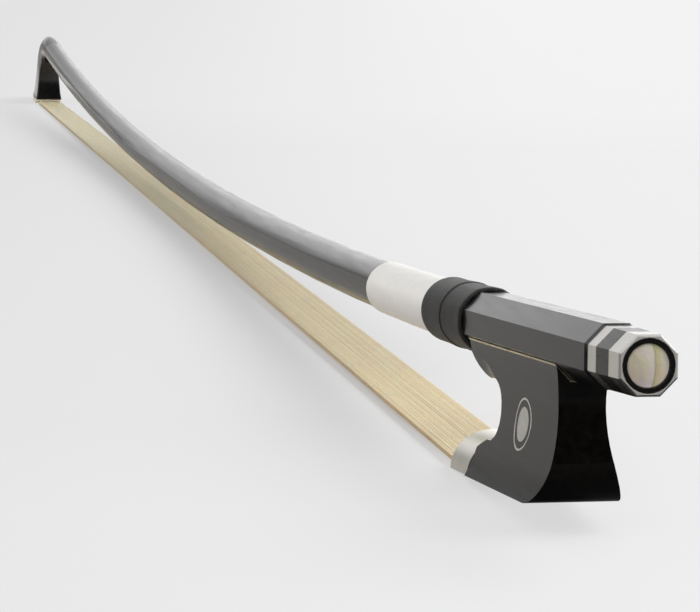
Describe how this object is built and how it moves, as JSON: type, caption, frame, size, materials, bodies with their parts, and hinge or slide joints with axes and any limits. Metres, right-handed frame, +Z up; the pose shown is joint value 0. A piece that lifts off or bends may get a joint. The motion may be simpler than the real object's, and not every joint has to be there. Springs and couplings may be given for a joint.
{
  "type": "cello bow",
  "caption": "Cambered black cello bow with an eight-sided handle, rounded ebony frog, silver ferrule and lapping, leather grip, hair ribbon and screw button.",
  "frame": {"origin": "centre of the bow's footprint on the surface it stands on, hair down", "axes": "+X along the hair from the tip towards the button, +Z up, -Y the side seen in the picture"},
  "size_m": [0.7142, 0.0164, 0.0391],
  "materials": {
    "black_stick": "polished black composite",
    "ebony": "polished ebony",
    "silver": "polished nickel silver",
    "silver_lapping": "close-wound silver wire",
    "liner_metal": "thin nickel-silver strip, warm tint",
    "pearl": "mother-of-pearl",
    "bone": "polished bone",
    "leather": "matt black leather",
    "hair": "unbleached horsehair",
    "thread": "waxed binding thread",
    "plug_wood": "plain lime wood",
    "brass": "machined brass",
    "steel": "turned steel"
  },
  "bodies": {
    "bow_stick": {"stick": "black_stick", "tip_plate": "bone", "tip_plate_liner": "ebony", "head_plug": "plug_wood", "head_hair_knot": "thread", "thumb_grip": "leather", "grip_front_band": "leather", "silver_lapping": "silver_lapping", "hair_ribbon": "hair"},
    "frog": {"frog_body": "ebony", "underslide_liner": "liner_metal", "liner_pin_back": "silver", "liner_pin_front": "silver", "eye_ring_near": "silver", "eye_ring_far": "silver", "eye_pearl_near": "pearl", "eye_pearl_far": "pearl", "ferrule": "silver", "ferrule_wedge": "plug_wood", "slide_base": "ebony", "slide_pearl": "pearl", "frog_plug": "plug_wood", "frog_hair_knot": "thread", "eyelet": "brass"},
    "screw": {"screw_shaft": "steel", "button_core": "ebony", "button_back_collar": "silver", "button_front_collar": "silver", "button_pearl": "pearl"}
  },
  "joints": [
    {"name": "screw_turn", "type": "hinge", "parent": "bow_stick", "child": "screw", "pos_m": [0.34162, 0, 0.03289], "axis": [-0.9949, 0, -0.1007], "range_deg": [0, 2880]},
    {"name": "frog_slide", "type": "slide", "parent": "bow_stick", "child": "frog", "axis": [0.9949, 0, 0.1007], "range_m": [0, 0.0056], "deforming": ["hair_ribbon"]}
  ],
  "couplings": [
    {"joint": "screw_turn", "follows": "frog_slide", "rad_per_m": 8975.9}
  ]
}
